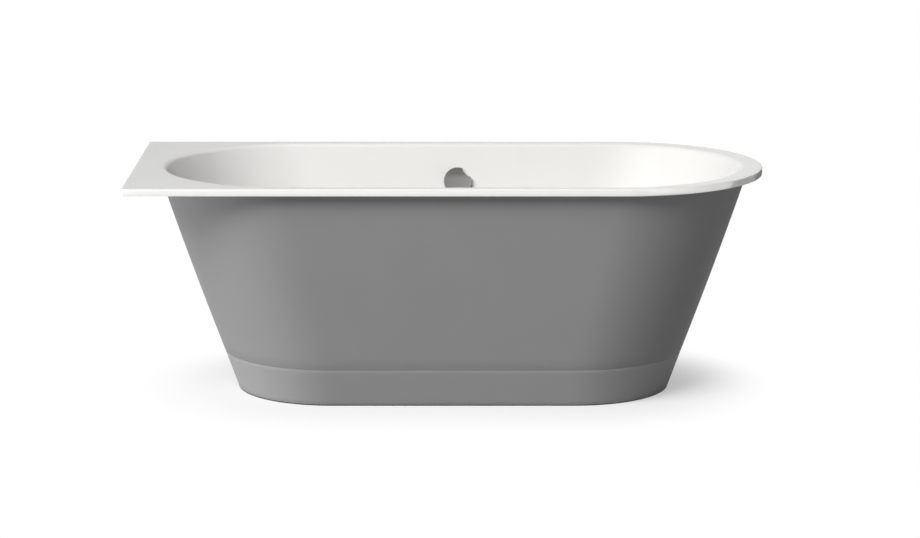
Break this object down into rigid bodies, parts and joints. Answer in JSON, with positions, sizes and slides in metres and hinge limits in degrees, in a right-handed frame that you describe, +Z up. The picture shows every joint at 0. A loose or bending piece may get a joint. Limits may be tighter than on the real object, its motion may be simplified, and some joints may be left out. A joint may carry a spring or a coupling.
{
  "type": "built-in bathtub",
  "caption": "Oval enamelled steel bath with a square corner end, a round free end, a tapered grey skirt, levelling feet and a pop-up waste worked by the overflow knob.",
  "frame": {"origin": "on the floor, under the middle of the rim's outer box", "axes": "+X along the bath to its round end, +Y to the long wall, +Z up"},
  "size_m": [1.75, 0.8, 0.628],
  "materials": {
    "white_enamel": "high gloss vitreous enamel",
    "grey_enamel": "satin grey enamel",
    "bright_chrome": "polished",
    "zinc_steel": "zinc plated",
    "black_rubber": "matt",
    "damping_sheet": "matt, fine grain",
    "white_plastic": "moulded",
    "black_plastic": "moulded"
  },
  "bodies": {
    "bath": {"bath_tub": "white_enamel", "skirt": "grey_enamel", "plinth": "grey_enamel", "waste_flange": "bright_chrome", "overflow_insert": "bright_chrome", "earth_lug": "zinc_steel", "wall_anchors": "zinc_steel", "left_rail": "zinc_steel", "right_rail": "zinc_steel", "rail_studs": "zinc_steel", "rail_nuts": "zinc_steel", "foot_weld_nuts": "zinc_steel", "foot_lock_nuts": "zinc_steel", "skirt_brackets": "zinc_steel", "bracket_screws": "zinc_steel", "bracket_nuts": "zinc_steel", "pipe_clamps": "zinc_steel", "cable_ferrules": "zinc_steel", "skirt_bond_tape": "black_rubber", "floor_seal": "black_rubber", "rail_pads": "black_rubber", "overflow_gasket": "black_rubber", "flange_seal": "black_rubber", "waste_gasket": "black_rubber", "trap_seal": "black_rubber", "outlet_seal": "black_rubber", "sound_pads": "damping_sheet", "trap_body": "white_plastic", "trap_nut": "white_plastic", "outlet_pipe": "white_plastic", "outlet_nut": "white_plastic", "waste_body": "white_plastic", "overflow_body": "white_plastic", "overflow_pipe": "white_plastic", "drive_cable": "black_plastic"},
    "knob": {"overflow_knob": "bright_chrome", "overflow_spindle": "zinc_steel", "drive_pulley": "black_plastic", "spindle_clip": "zinc_steel"},
    "plug": {"waste_plug": "bright_chrome", "plug_seal": "black_rubber", "plug_stem": "zinc_steel"},
    "lever": {"lift_lever": "zinc_steel", "cable_crank": "zinc_steel"},
    "front_left_foot": {"front_left_foot_stud": "zinc_steel", "front_left_foot_pad": "black_rubber"},
    "rear_left_foot": {"rear_left_foot_stud": "zinc_steel", "rear_left_foot_pad": "black_rubber"},
    "front_right_foot": {"front_right_foot_stud": "zinc_steel", "front_right_foot_pad": "black_rubber"},
    "rear_right_foot": {"rear_right_foot_stud": "zinc_steel", "rear_right_foot_pad": "black_rubber"}
  },
  "joints": [
    {"name": "knob_turn", "type": "hinge", "parent": "bath", "child": "knob", "pos_m": [0.0245, 0.33061, 0.522], "axis": [0, -0.9613, 0.2756], "range_deg": [0, 90]},
    {"name": "plug_lift", "type": "slide", "parent": "bath", "child": "plug", "axis": [0, 0, 1], "range_m": [0, 0.01]},
    {"name": "lever_turn", "type": "hinge", "parent": "bath", "child": "lever", "pos_m": [0.0245, 0.027, 0.13], "axis": [-1, 0, 0], "range_deg": [0, 21.79]},
    {"name": "front_left_foot_screw", "type": "slide", "parent": "bath", "child": "front_left_foot", "axis": [0, 0, -1], "range_m": [-0.008, 0.012]},
    {"name": "rear_left_foot_screw", "type": "slide", "parent": "bath", "child": "rear_left_foot", "axis": [0, 0, -1], "range_m": [-0.008, 0.012]},
    {"name": "front_right_foot_screw", "type": "slide", "parent": "bath", "child": "front_right_foot", "axis": [0, 0, -1], "range_m": [-0.008, 0.012]},
    {"name": "rear_right_foot_screw", "type": "slide", "parent": "bath", "child": "rear_right_foot", "axis": [0, 0, -1], "range_m": [-0.008, 0.012]}
  ],
  "couplings": [
    {"joint": "plug_lift", "follows": "knob_turn", "m_per_rad": 0.006366},
    {"joint": "lever_turn", "follows": "knob_turn", "ratio": 0.2415}
  ]
}
